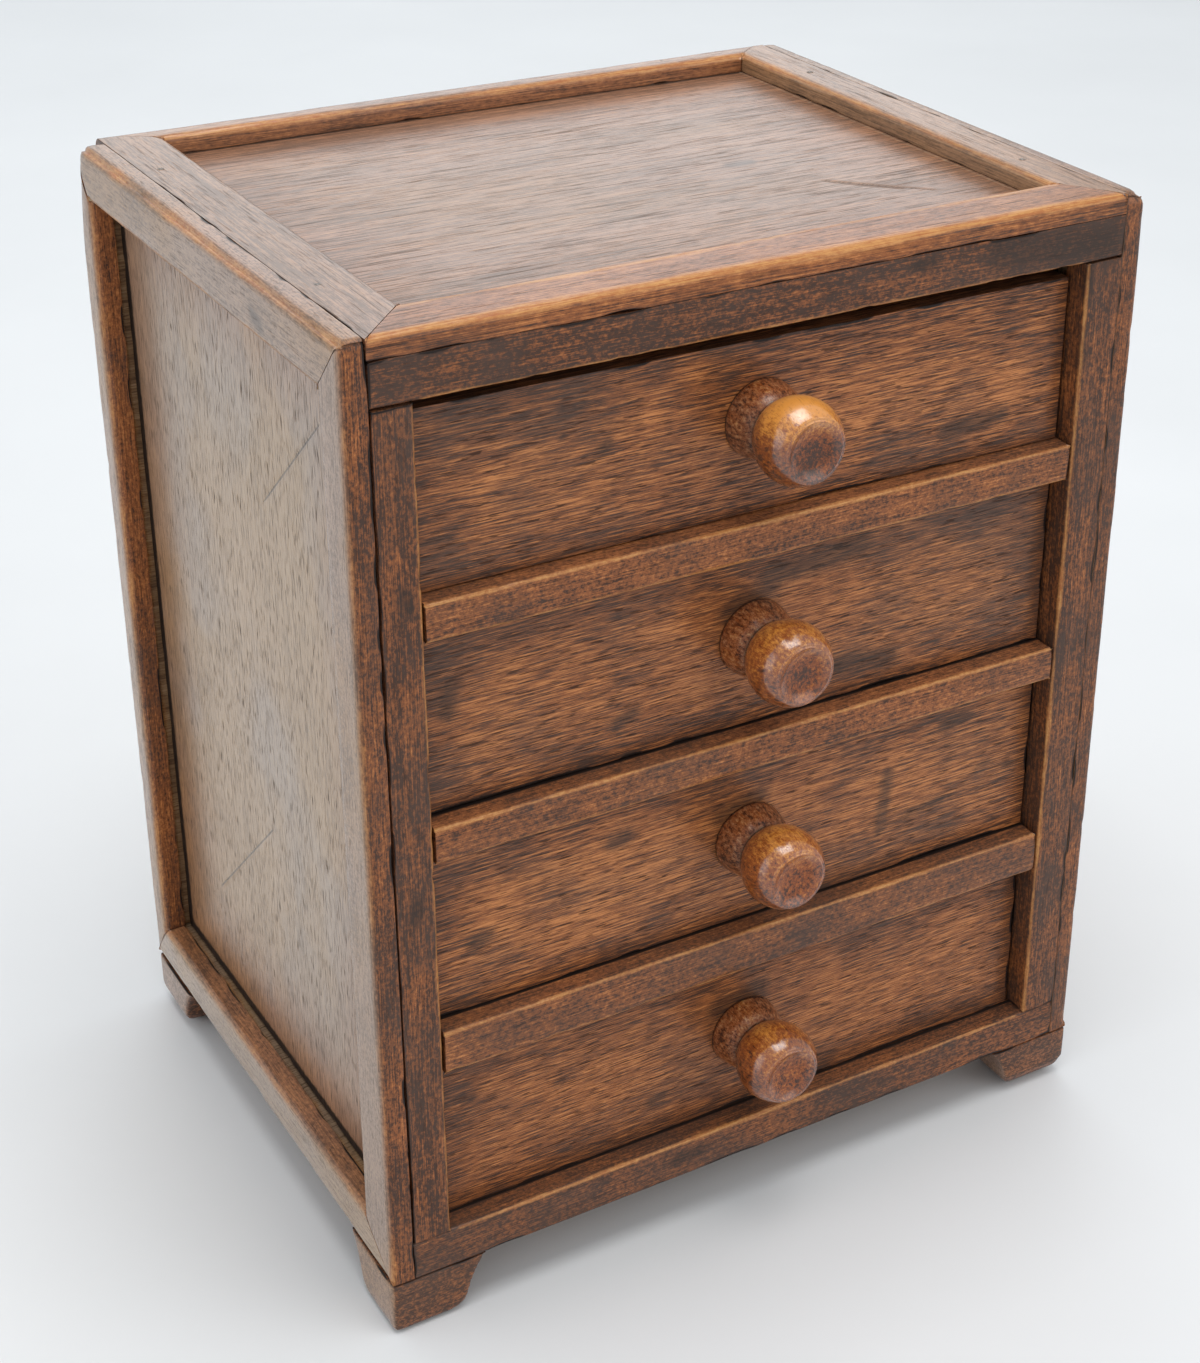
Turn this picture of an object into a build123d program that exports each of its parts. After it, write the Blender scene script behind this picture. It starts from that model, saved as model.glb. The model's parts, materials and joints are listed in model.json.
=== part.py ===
from build123d import *
import os

# A small chest with four drawers: panels with mitred strips round them, a front frame, shelves between
# the drawers, four shaped feet and four turned knobs. Millimetres, +Z up, the front faces -Y. The origin
# lies on the surface that the feet stand on, at the middle of the whole outline, knobs included.

# Case
case_width = 205.0
case_depth = 161.0
opening_height = 45.8
divider_heights = (9.6, 9.4, 11.8)
arris_radius = 0.8
overrun = 2.0

# Boards of the case
side_panel_thickness = 7.0
panel_setback = 1.7
top_panel_thickness = 8.0
back_panel_thickness = 7.0
shelf_housing = 2.0
shelf_fit = 0.1

# Front frame
frame_thickness = 8.0
front_stile_width = 10.2
front_top_rail_height = 10.5
front_bottom_rail_height = 10.5
divider_end_gap = 0.4
divider_setback = 0.4

# Strips round the top panel
top_strip_thickness = 5.0
top_front_strip_width = 16.2
top_back_strip_width = 8.6
top_left_strip_width = 15.0
top_right_strip_width = 10.6

# Strips round the side panels
side_strip_thickness = 6.0
side_top_rail_height = 13.6
side_bottom_rail_height = 12.0
side_front_stile_top_width = 12.4
side_front_stile_low_width = 15.4
side_back_stile_width = 9.0

# Feet: width at the top, at the waist and on the ground, and how far the outer corner is worn away
foot_height = 15.5
foot_top_width = 26.0
foot_waist_width = 20.4
foot_waist_height = 5.2
foot_sole_width = 14.5
foot_flare_radius = 22.0
foot_toe_radius = 7.0
front_left_foot_wear = 2.0
front_right_foot_wear = 6.0
back_left_foot_wear = 6.0
back_right_foot_wear = 4.0

# Drawers, from the top one down: how far each front stands back and the gap above its two ends
drawer_setbacks = (5.6, 6.5, 6.5, 6.5)
left_top_gaps = (3.6, 1.2, 1.2, 1.2)
right_top_gaps = (4.6, 1.2, 1.2, 1.2)
drawer_side_gap = 0.9
drawer_running_gap = 0.2
drawer_stop_gap = 0.3
drawer_front_thickness = 9.0
drawer_side_thickness = 8.0
drawer_box_inset = 1.5
drawer_side_drop = 3.0
drawer_back_thickness = 7.0
drawer_back_inset = 5.0
drawer_back_housing = 2.5
drawer_bottom_thickness = 4.0
drawer_bottom_height = 4.0
drawer_groove_depth = 3.0
drawer_fit = 0.1

# Knobs, along the turning axis from the drawer front outwards
knob_collar_radius = 9.6
knob_collar_edge = 0.8
knob_neck_radius = 6.2
knob_ball_radius = 10.3
knob_ball_centre = 15.2
knob_length = 22.2
knob_dish_rim = 0.9
knob_dish_depth = 1.1
knob_tenon_radius = 3.6
knob_fit = 0.1

# Square brads
brad_size = 1.3
brad_bite = 6.0
brad_fit = 0.05
side_rail_brad_inset = 40.0
side_stile_brad_inset = 33.0
side_stile_brad_edge = 4.0
top_front_brad_edge = 10.0
top_side_brad_edge = 4.6
top_brad_inset = 34.0
top_back_brad_edge = 4.0
drawer_end_brad_edge = 7.4
drawer_end_brad_height_shares = (0.16, 0.64)
drawer_bottom_brad_spread = 84.0

os.makedirs("parts", exist_ok=True)


def middle(*spans):
    """The centre of a box given by its spans."""
    return tuple((low + high) / 2 for low, high in spans)


def lengths(*spans):
    """The side lengths of a box given by its spans."""
    return tuple(high - low for low, high in spans)


def keep(piece, name):
    piece.part.label = name
    export_step(piece.part, f"parts/{name}.step")


# Spans of the case across, from front to back and upwards
outer_x = (-case_width / 2, case_width / 2)
carcass_x = (outer_x[0] + side_strip_thickness, outer_x[1] - side_strip_thickness)
opening_x = (carcass_x[0] + front_stile_width, carcass_x[1] - front_stile_width)
left_panel_x = (carcass_x[0] + panel_setback, carcass_x[0] + panel_setback + side_panel_thickness)
right_panel_x = (-left_panel_x[1], -left_panel_x[0])

knob_reach = knob_length - min(drawer_setbacks)
outer_y = ((knob_reach - case_depth) / 2, (knob_reach + case_depth) / 2)
frame_y = (outer_y[0], outer_y[0] + frame_thickness)
back_panel_y = (outer_y[1] - back_panel_thickness, outer_y[1])
board_y = (frame_y[1], outer_y[1])
side_panel_y = (frame_y[1], back_panel_y[0])

drawer_count = len(drawer_setbacks)
bottom_rail_z = (foot_height, foot_height + front_bottom_rail_height)
opening_z = []
divider_z = []
level = bottom_rail_z[1] + drawer_count * opening_height + sum(divider_heights)
top_rail_z = (level, level + front_top_rail_height)
for height in divider_heights:
    opening_z.append((level - opening_height, level))
    level -= opening_height + height
    divider_z.append((level, level + height))
opening_z.append((level - opening_height, level))
top_panel_z = (top_rail_z[1] - top_panel_thickness, top_rail_z[1])
top_strip_z = (top_rail_z[1], top_rail_z[1] + top_strip_thickness)
side_panel_z = (bottom_rail_z[1], top_panel_z[0])
outer_z = (foot_height, top_strip_z[1])

# Places of the brads. Those in the side strips are (y, z), those in the top strips are (x, y)
side_rail_brad_y = (outer_y[0] + side_rail_brad_inset, outer_y[1] - side_rail_brad_inset)
side_stile_brad_z = (outer_z[0] + side_stile_brad_inset, outer_z[1] - side_stile_brad_inset)
brads_into_top = [(y, middle(top_panel_z)[0]) for y in side_rail_brad_y]
brads_into_bottom = [(y, middle(bottom_rail_z)[0]) for y in side_rail_brad_y]
brads_into_front = [(outer_y[0] + side_stile_brad_edge, z) for z in side_stile_brad_z]
brads_into_back = [(middle(back_panel_y)[0], z) for z in side_stile_brad_z]
top_brad_x = (carcass_x[0] + top_brad_inset, 0.0, carcass_x[1] - top_brad_inset)
top_brad_y = (outer_y[0] + top_brad_inset, outer_y[1] - top_brad_inset)
top_front_brads = [(x, outer_y[0] + top_front_brad_edge) for x in top_brad_x]
top_back_brads = [(x, outer_y[1] - top_back_brad_edge) for x in top_brad_x]
top_left_brads = [(carcass_x[0] + top_side_brad_edge, y) for y in top_brad_y]
top_right_brads = [(carcass_x[1] - top_side_brad_edge, y) for y in top_brad_y]

# Planes whose local axes are two axes of the case: (y, z) on a side, (x, z) on the front
left_plane = Plane((outer_x[0], 0, 0), x_dir=(0, 1, 0), z_dir=(1, 0, 0))
right_plane = Plane((carcass_x[1], 0, 0), x_dir=(0, 1, 0), z_dir=(1, 0, 0))
left_edge_plane = Plane((carcass_x[0], 0, 0), x_dir=(0, 1, 0), z_dir=(1, 0, 0))
top_plane = Plane.XY.offset(top_strip_z[0])


def front_plane(y):
    return Plane((0, y, 0), x_dir=(1, 0, 0), z_dir=(0, -1, 0))


def brad_marks(plane, places, size):
    """Squares at the places on a plane, for brads or for their holes."""
    with BuildSketch(plane) as marks:
        with Locations(*places):
            Rectangle(size, size)
    return marks.sketch


hole_size = brad_size + 2 * brad_fit
hole_bite = brad_bite + brad_fit

# Boards of the case

with BuildPart() as top_panel:
    with Locations(middle(carcass_x, board_y, top_panel_z)):
        Box(*lengths(carcass_x, board_y, top_panel_z))
    top_brads = top_front_brads + top_back_brads + top_left_brads + top_right_brads
    extrude(brad_marks(top_plane, top_brads, hole_size), amount=-hole_bite, mode=Mode.SUBTRACT)
    extrude(brad_marks(left_edge_plane, brads_into_top, hole_size), amount=hole_bite, mode=Mode.SUBTRACT)
    extrude(brad_marks(right_plane, brads_into_top, hole_size), amount=-hole_bite, mode=Mode.SUBTRACT)
keep(top_panel, "top_panel")

with BuildPart() as bottom_panel:
    with Locations(middle(carcass_x, board_y, bottom_rail_z)):
        Box(*lengths(carcass_x, board_y, bottom_rail_z))
    extrude(brad_marks(left_edge_plane, brads_into_bottom, hole_size), amount=hole_bite, mode=Mode.SUBTRACT)
    extrude(brad_marks(right_plane, brads_into_bottom, hole_size), amount=-hole_bite, mode=Mode.SUBTRACT)
keep(bottom_panel, "bottom_panel")

with BuildPart() as back_panel:
    with Locations(middle(carcass_x, back_panel_y, side_panel_z)):
        Box(*lengths(carcass_x, back_panel_y, side_panel_z))
    extrude(brad_marks(left_edge_plane, brads_into_back, hole_size), amount=hole_bite, mode=Mode.SUBTRACT)
    extrude(brad_marks(right_plane, brads_into_back, hole_size), amount=-hole_bite, mode=Mode.SUBTRACT)
keep(back_panel, "back_panel")


def make_side_panel(name, panel_x, inner_x):
    """A side panel with a housing across its inner face for each shelf."""
    with BuildPart() as panel:
        with Locations(middle(panel_x, side_panel_y, side_panel_z)):
            Box(*lengths(panel_x, side_panel_y, side_panel_z))
        for low, high in divider_z:
            with Locations((inner_x, *middle(side_panel_y, (low, high + shelf_fit)))):
                Box(
                    2 * shelf_housing,
                    case_depth + overrun,
                    high + shelf_fit - low,
                    mode=Mode.SUBTRACT,
                )
    keep(panel, name)


make_side_panel("left_side_panel", left_panel_x, left_panel_x[1])
make_side_panel("right_side_panel", right_panel_x, right_panel_x[0])

# Front frame: the rails run through and the stiles stand between them


def make_frame_rail(name, z_span, open_side):
    """A rail of the front frame, with the edge next to the drawer worn round."""
    with BuildPart() as rail:
        with Locations(middle(carcass_x, frame_y, z_span)):
            Box(*lengths(carcass_x, frame_y, z_span))
        front_edges = rail.faces().sort_by(Axis.Y)[0].edges()
        fillet(front_edges.filter_by(Axis.X).sort_by(Axis.Z)[open_side], arris_radius)
    keep(rail, name)


def make_frame_stile(name, x_span, seam_plane, bite, open_side):
    """A stile of the front frame, with the holes of the brads that hold the side strip."""
    stile_z = (bottom_rail_z[1], top_rail_z[0])
    with BuildPart() as stile:
        with Locations(middle(x_span, frame_y, stile_z)):
            Box(*lengths(x_span, frame_y, stile_z))
        front_edges = stile.faces().sort_by(Axis.Y)[0].edges()
        fillet(front_edges.filter_by(Axis.Z).sort_by(Axis.X)[open_side], arris_radius)
        extrude(brad_marks(seam_plane, brads_into_front, hole_size), amount=bite, mode=Mode.SUBTRACT)
    keep(stile, name)


make_frame_rail("front_top_rail", top_rail_z, 0)
make_frame_rail("front_bottom_rail", bottom_rail_z, -1)
make_frame_stile("front_left_stile", (carcass_x[0], opening_x[0]), left_edge_plane, hole_bite, -1)
make_frame_stile("front_right_stile", (opening_x[1], carcass_x[1]), right_plane, -hole_bite, 0)

# Shelves between the drawers: the front edge is the divider that shows, notched round the stiles

shelf_x = (left_panel_x[1] - shelf_housing, right_panel_x[0] + shelf_housing)
divider_x = (opening_x[0] + divider_end_gap, opening_x[1] - divider_end_gap)
divider_front = frame_y[0] + divider_setback

for number, (low, high) in enumerate(divider_z, start=1):
    with BuildPart() as shelf:
        with BuildSketch(Plane.XY.offset(low)):
            with BuildLine():
                Polyline(
                    (divider_x[0], divider_front),
                    (divider_x[1], divider_front),
                    (divider_x[1], frame_y[1]),
                    (shelf_x[1], frame_y[1]),
                    (shelf_x[1], back_panel_y[0]),
                    (shelf_x[0], back_panel_y[0]),
                    (shelf_x[0], frame_y[1]),
                    (divider_x[0], frame_y[1]),
                    close=True,
                )
            make_face()
        extrude(amount=high - low)
        front_edges = shelf.faces().sort_by(Axis.Y)[0].edges()
        fillet(front_edges.filter_by(Axis.X), arris_radius)
    keep(shelf, f"divider_shelf_{number}")

# Mitred strips. Each one runs from corner to corner of a frame round a recessed panel


def make_mitred_strip(name, plane, outer, inner, side, thickness, brads, face_out):
    """One strip of a mitred frame. outer and inner are the corners of the frame's two outlines."""
    following = (side + 1) % len(outer)
    with BuildPart() as strip:
        with BuildSketch(plane):
            Polygon(outer[side], outer[following], inner[following], inner[side], align=None)
        extrude(amount=thickness)
        shown_face = strip.faces().sort_by(Axis((0, 0, 0), plane.z_dir))[face_out]
        long_edges = shown_face.edges().sort_by(SortBy.LENGTH)[-2:]
        fillet(long_edges, arris_radius)
        extrude(brad_marks(plane, brads, hole_size), amount=thickness, mode=Mode.SUBTRACT)
    keep(strip, name)


def corners(u_span, v_span):
    """The corners of a rectangle, anticlockwise from the low one."""
    return [(u_span[0], v_span[0]), (u_span[1], v_span[0]), (u_span[1], v_span[1]), (u_span[0], v_span[1])]


top_outer = corners(carcass_x, outer_y)
top_inner = corners(
    (carcass_x[0] + top_left_strip_width, carcass_x[1] - top_right_strip_width),
    (outer_y[0] + top_front_strip_width, outer_y[1] - top_back_strip_width),
)
top_strips = (
    ("top_front_strip", top_front_brads),
    ("top_right_strip", top_right_brads),
    ("top_back_strip", top_back_brads),
    ("top_left_strip", top_left_brads),
)
for side, (name, brads) in enumerate(top_strips):
    make_mitred_strip(name, top_plane, top_outer, top_inner, side, top_strip_thickness, brads, -1)

side_outer = corners(outer_y, outer_z)
side_inner_z = (outer_z[0] + side_bottom_rail_height, outer_z[1] - side_top_rail_height)
side_inner = [
    (outer_y[0] + side_front_stile_low_width, side_inner_z[0]),
    (outer_y[1] - side_back_stile_width, side_inner_z[0]),
    (outer_y[1] - side_back_stile_width, side_inner_z[1]),
    (outer_y[0] + side_front_stile_top_width, side_inner_z[1]),
]
side_strips = (
    ("bottom_rail", brads_into_bottom),
    ("back_stile", brads_into_back),
    ("top_rail", brads_into_top),
    ("front_stile", brads_into_front),
)
sides_of_case = (("left", left_plane, 0), ("right", right_plane, -1))
for side, (piece, brads) in enumerate(side_strips):
    for hand, plane, face_out in sides_of_case:
        name = f"{hand}_{piece}"
        make_mitred_strip(name, plane, side_outer, side_inner, side, side_strip_thickness, brads, face_out)

# Feet: the same curved profile seen from the front and from the side


def foot_outline():
    """Half a bracket: a flare from the top to the waist, then a round toe to the ground."""
    with BuildLine() as outline:
        Polyline((0, 0), (0, foot_height), (foot_top_width, foot_height))
        RadiusArc((foot_top_width, foot_height), (foot_waist_width, foot_waist_height), -foot_flare_radius)
        RadiusArc((foot_waist_width, foot_waist_height), (foot_sole_width, 0), foot_toe_radius)
        Line((foot_sole_width, 0), (0, 0))
    return outline.line


def make_foot(name, x_corner, y_corner, wear):
    """A foot under one corner of the case, its outer edges on the ground worn round."""
    x_inwards = 1 if x_corner < 0 else -1
    y_inwards = 1 if y_corner < middle(outer_y)[0] else -1
    across = Plane((x_corner, y_corner, 0), x_dir=(x_inwards, 0, 0), z_dir=(0, -x_inwards, 0))
    along = Plane((x_corner, y_corner, 0), x_dir=(0, y_inwards, 0), z_dir=(y_inwards, 0, 0))
    with BuildPart() as foot:
        with BuildSketch(across):
            make_face(foot_outline())
        extrude(amount=foot_top_width + overrun, both=True)
        with BuildSketch(along):
            make_face(foot_outline())
        extrude(amount=foot_top_width + overrun, both=True, mode=Mode.INTERSECT)
        ground_edges = foot.faces().sort_by(Axis.Z)[0].edges()
        x_edge = ground_edges.filter_by(Axis.Y).sort_by(Axis.X)[0 if x_inwards > 0 else -1]
        y_edge = ground_edges.filter_by(Axis.X).sort_by(Axis.Y)[0 if y_inwards > 0 else -1]
        fillet([x_edge, y_edge], wear)
    keep(foot, name)


make_foot("front_left_foot", outer_x[0], outer_y[0], front_left_foot_wear)
make_foot("front_right_foot", outer_x[1], outer_y[0], front_right_foot_wear)
make_foot("back_left_foot", outer_x[0], outer_y[1], back_left_foot_wear)
make_foot("back_right_foot", outer_x[1], outer_y[1], back_right_foot_wear)

# Brads of the case, one group

with BuildPart() as case_brads:
    for brads in (top_front_brads, top_back_brads, top_left_brads, top_right_brads):
        extrude(brad_marks(top_plane, brads, brad_size), amount=top_strip_thickness)
        extrude(brad_marks(top_plane, brads, brad_size), amount=-brad_bite)
    for brads in (brads_into_top, brads_into_bottom, brads_into_front, brads_into_back):
        extrude(brad_marks(left_plane, brads, brad_size), amount=side_strip_thickness + brad_bite)
        extrude(brad_marks(right_plane, brads, brad_size), amount=side_strip_thickness)
        extrude(brad_marks(right_plane, brads, brad_size), amount=-brad_bite)
keep(case_brads, "case_brads")

# Drawers

front_x = (opening_x[0] + drawer_side_gap, opening_x[1] - drawer_side_gap)
box_x = (front_x[0] + drawer_box_inset, front_x[1] - drawer_box_inset)
left_side_x = (box_x[0], box_x[0] + drawer_side_thickness)
right_side_x = (box_x[1] - drawer_side_thickness, box_x[1])
bottom_x = (
    left_side_x[1] - drawer_groove_depth + drawer_fit,
    right_side_x[0] + drawer_groove_depth - drawer_fit,
)
back_x = (left_side_x[1] - drawer_back_housing, right_side_x[0] + drawer_back_housing)
drawer_end = back_panel_y[0] - drawer_stop_gap
drawer_back_y = (drawer_end - drawer_back_inset - drawer_back_thickness, drawer_end - drawer_back_inset)
bottom_brad_x = (-drawer_bottom_brad_spread / 2, drawer_bottom_brad_spread / 2)
end_brad_x = (front_x[0] + drawer_end_brad_edge, front_x[1] - drawer_end_brad_edge)


def make_drawer_front(name, face_y, z_low, z_left, z_right, knob_z, groove_z, brads):
    """A front board: groove for the bottom, hole for the knob's tenon, holes for the brads."""
    with BuildPart() as board:
        with BuildSketch(front_plane(face_y)):
            with BuildLine():
                Polyline(
                    (front_x[0], z_low),
                    (front_x[1], z_low),
                    (front_x[1], z_right),
                    (front_x[0], z_left),
                    close=True,
                )
            make_face()
        extrude(amount=-drawer_front_thickness)
        shown_edges = board.faces().sort_by(Axis.Y)[0].edges()
        fillet(shown_edges, arris_radius)
        groove_y = (face_y + drawer_front_thickness - drawer_groove_depth, face_y + drawer_front_thickness)
        with Locations(middle(bottom_x, (groove_y[0], groove_y[1] + overrun), groove_z)):
            Box(
                bottom_x[1] - bottom_x[0] + 2 * drawer_fit,
                drawer_groove_depth + overrun,
                groove_z[1] - groove_z[0],
                mode=Mode.SUBTRACT,
            )
        with BuildSketch(front_plane(face_y)):
            with Locations((0, knob_z)):
                Circle(knob_tenon_radius + knob_fit)
        extrude(amount=-drawer_front_thickness, mode=Mode.SUBTRACT)
        extrude(
            brad_marks(front_plane(face_y), brads, hole_size),
            amount=-drawer_front_thickness,
            mode=Mode.SUBTRACT,
        )
    keep(board, name)


def make_drawer_side(name, x_span, inner_x, y_span, z_span, groove_z, brads):
    """A side board: groove for the bottom, housing for the back, holes for the brads in its front end."""
    with BuildPart() as board:
        with Locations(middle(x_span, y_span, z_span)):
            Box(*lengths(x_span, y_span, z_span))
        with Locations((inner_x, *middle(y_span, groove_z))):
            Box(
                2 * drawer_groove_depth,
                y_span[1] - y_span[0] + overrun,
                groove_z[1] - groove_z[0],
                mode=Mode.SUBTRACT,
            )
        housing_z = (groove_z[1], z_span[1] + overrun)
        with Locations((inner_x, *middle(drawer_back_y, housing_z))):
            Box(
                2 * drawer_back_housing,
                drawer_back_thickness + 2 * drawer_fit,
                housing_z[1] - housing_z[0],
                mode=Mode.SUBTRACT,
            )
        extrude(
            brad_marks(front_plane(y_span[0]), brads, hole_size),
            amount=-hole_bite,
            mode=Mode.SUBTRACT,
        )
    keep(board, name)


def make_drawer_back(name, z_span):
    """The back board, housed in the sides and standing on the bottom."""
    with BuildPart() as board:
        with Locations(middle(back_x, drawer_back_y, z_span)):
            Box(*lengths(back_x, drawer_back_y, z_span))
    keep(board, name)


def make_drawer_bottom(name, front_end, z_span, brads):
    """The bottom board, pushed into the grooves from behind."""
    y_span = (front_end, drawer_back_y[1])
    with BuildPart() as board:
        with Locations(middle(bottom_x, y_span, z_span)):
            Box(*lengths(bottom_x, y_span, z_span))
        extrude(brad_marks(front_plane(front_end), brads, hole_size), amount=-hole_bite, mode=Mode.SUBTRACT)
    keep(board, name)


def make_knob(name, face_y, knob_z):
    """A turned knob. The profile has the radius across, and runs from the tenon outwards along the axis."""
    flat_radius = (knob_ball_radius**2 - (knob_length - knob_ball_centre) ** 2) ** 0.5
    ball_start = knob_ball_centre - (knob_ball_radius**2 - knob_neck_radius**2) ** 0.5
    dish_radius = flat_radius - knob_dish_rim
    collar = (knob_collar_radius, -knob_collar_edge)
    neck = (knob_neck_radius, -ball_start)
    axis_plane = Plane((0, face_y, knob_z), x_dir=(1, 0, 0), z_dir=(0, 0, 1))
    with BuildPart() as knob:
        with BuildSketch(axis_plane):
            with BuildLine():
                Polyline(
                    (0, drawer_front_thickness),
                    (knob_tenon_radius, drawer_front_thickness),
                    (knob_tenon_radius, 0),
                    (knob_collar_radius, 0),
                    collar,
                )
                TangentArc(collar, neck, tangent=(0, -1))
                ThreePointArc(neck, (knob_ball_radius, -knob_ball_centre), (flat_radius, -knob_length))
                Line((flat_radius, -knob_length), (dish_radius, -knob_length))
                TangentArc(
                    (0, knob_dish_depth - knob_length),
                    (dish_radius, -knob_length),
                    tangent=(1, 0),
                )
                Line((0, knob_dish_depth - knob_length), (0, drawer_front_thickness))
            make_face()
        revolve(axis=Axis((0, face_y, knob_z), (0, 1, 0)))
    keep(knob, name)


for index in range(drawer_count):
    name = f"drawer_{index + 1}"
    face_y = outer_y[0] + drawer_setbacks[index]
    box_y = (face_y + drawer_front_thickness, drawer_end)
    z_low = opening_z[index][0] + drawer_running_gap
    z_left = opening_z[index][1] - left_top_gaps[index]
    z_right = opening_z[index][1] - right_top_gaps[index]
    side_z = (z_low, min(z_left, z_right) - drawer_side_drop)
    bottom_z = (z_low + drawer_bottom_height, z_low + drawer_bottom_height + drawer_bottom_thickness)
    groove_z = (bottom_z[0], bottom_z[1] + drawer_fit)
    knob_z = middle(opening_z[index])[0]
    end_brad_z = [bottom_z[1] + share * (side_z[1] - bottom_z[1]) for share in drawer_end_brad_height_shares]
    left_brads = [(end_brad_x[0], z) for z in end_brad_z]
    right_brads = [(end_brad_x[1], z) for z in end_brad_z]
    bottom_brads = [(x, middle(bottom_z)[0]) for x in bottom_brad_x]
    all_brads = left_brads + right_brads + bottom_brads
    groove_end = box_y[0] - drawer_groove_depth

    make_drawer_front(f"{name}_front", face_y, z_low, z_left, z_right, knob_z, groove_z, all_brads)
    for hand, x_span, inner_x, brads in (
        ("left", left_side_x, left_side_x[1], left_brads),
        ("right", right_side_x, right_side_x[0], right_brads),
    ):
        make_drawer_side(f"{name}_{hand}_side", x_span, inner_x, box_y, side_z, groove_z, brads)
    make_drawer_back(f"{name}_back", (groove_z[1], side_z[1]))
    make_drawer_bottom(f"{name}_bottom", groove_end, bottom_z, bottom_brads)
    make_knob(f"{name}_knob", face_y, knob_z)

    with BuildPart() as drawer_brads:
        end_marks = brad_marks(front_plane(face_y), left_brads + right_brads, brad_size)
        extrude(end_marks, amount=-(drawer_front_thickness + brad_bite))
        bottom_marks = brad_marks(front_plane(face_y), bottom_brads, brad_size)
        extrude(bottom_marks, amount=-(drawer_front_thickness - drawer_groove_depth + brad_bite))
    keep(drawer_brads, f"{name}_brads")
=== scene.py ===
import json
import math
import random
from collections import namedtuple

import bmesh
import bpy
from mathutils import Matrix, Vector, noise

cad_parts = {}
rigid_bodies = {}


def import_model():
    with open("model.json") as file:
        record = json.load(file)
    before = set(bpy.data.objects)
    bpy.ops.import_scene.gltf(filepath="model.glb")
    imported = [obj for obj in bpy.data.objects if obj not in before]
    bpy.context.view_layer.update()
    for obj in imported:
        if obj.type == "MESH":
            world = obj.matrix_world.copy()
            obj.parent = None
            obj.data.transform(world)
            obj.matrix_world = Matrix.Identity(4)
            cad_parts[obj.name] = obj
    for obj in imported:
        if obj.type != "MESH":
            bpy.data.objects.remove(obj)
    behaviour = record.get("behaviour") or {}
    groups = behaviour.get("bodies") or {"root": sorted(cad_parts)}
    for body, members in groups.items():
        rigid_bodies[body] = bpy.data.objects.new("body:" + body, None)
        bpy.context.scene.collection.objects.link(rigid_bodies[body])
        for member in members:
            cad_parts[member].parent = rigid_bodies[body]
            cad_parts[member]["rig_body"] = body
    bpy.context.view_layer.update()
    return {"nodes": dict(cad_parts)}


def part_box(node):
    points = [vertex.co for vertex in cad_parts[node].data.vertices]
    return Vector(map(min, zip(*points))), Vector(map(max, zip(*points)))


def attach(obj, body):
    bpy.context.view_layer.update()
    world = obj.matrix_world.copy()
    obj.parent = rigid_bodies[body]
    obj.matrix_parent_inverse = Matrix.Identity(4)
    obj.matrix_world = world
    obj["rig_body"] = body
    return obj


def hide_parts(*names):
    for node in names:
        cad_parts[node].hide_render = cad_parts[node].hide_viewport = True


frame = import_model()

# An old stained chest with four drawers on a pale floor. Lengths are in metres.
MM = 0.001

nodes = frame["nodes"]

# A flat face of a board: a point on it, its inward direction, how plainly another piece lies against it
# and how far that joint has opened
Face = namedtuple("Face", "point inward joint gap", defaults=(0.0,))


def place(axes, u, v, w):
    """A point from its coordinates along three axes, named in order, such as yzx."""
    values = dict(zip(axes, (u, v, w)))
    return Vector((values["x"], values["y"], values["z"]))


def rectangle(low, high, axes):
    """The outline of a box in the plane of the first two axes, anticlockwise from the low corner."""
    u, v = ("xyz".index(axis) for axis in axes[:2])
    return [(low[u], low[v]), (high[u], low[v]), (high[u], high[v]), (low[u], high[v])]


# Boards: prisms with rounded arrises, cut into a grid, dented and worn

# Rounding of the edges and the grid
arris = 1.0 * MM
soft_arris = 1.8 * MM
seam_arris = 0.1 * MM
arris_steps = 4
edge_rings = (0.8 * MM, 1.8 * MM, 3.2 * MM)
panel_grid = 3.0 * MM
strip_grid = 2.5 * MM
drawer_front_grid = 2.2 * MM
hidden_grid = 4.0 * MM
corner_run = 34.0 * MM
cut_tolerance = 1e-7
same_place = 1e-6

# Dents, rubbed edges and nicks
dent_depth, dent_scale = 0.07 * MM, 55.0
rubbed_depth, rubbed_reach, rubbed_scale = 0.30 * MM, 1.3 * MM, 75.0
rubbed_mean, rubbed_swing = 0.7, 0.7
nick_depth, nick_scale, nick_level = 1.5 * MM, 330.0, 0.30

# Scratches
scratch_width = 0.5 * MM
scratch_depth = 0.25 * MM
scratch_room = 5.0 * MM

# Seams that have opened here and there and the dirt in them, painted shade along recess borders and in the
# gaps under the drawers, painted shade with grime near the joints, and dust
crack_width, crack_reach, crack_scale, crack_level = 0.55 * MM, 0.8 * MM, 105.0, 0.05
seam_reach = 1.2 * MM
seam_least, seam_growth = 0.3, 2.5
border_shade_strength = 1.6
gap_shade = 4.0 * MM
gap_shade_line = 1.0 * MM
grime_reach = 14.0 * MM
dust_reach = 2.4 * MM

# Edges that are rubbed pale, and how much of that is left where another piece covers them
wear_reach = 3.4 * MM
thin_wear = 1.9 * MM
front_wear = 5.5 * MM
covered_wear = 0.15

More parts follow.
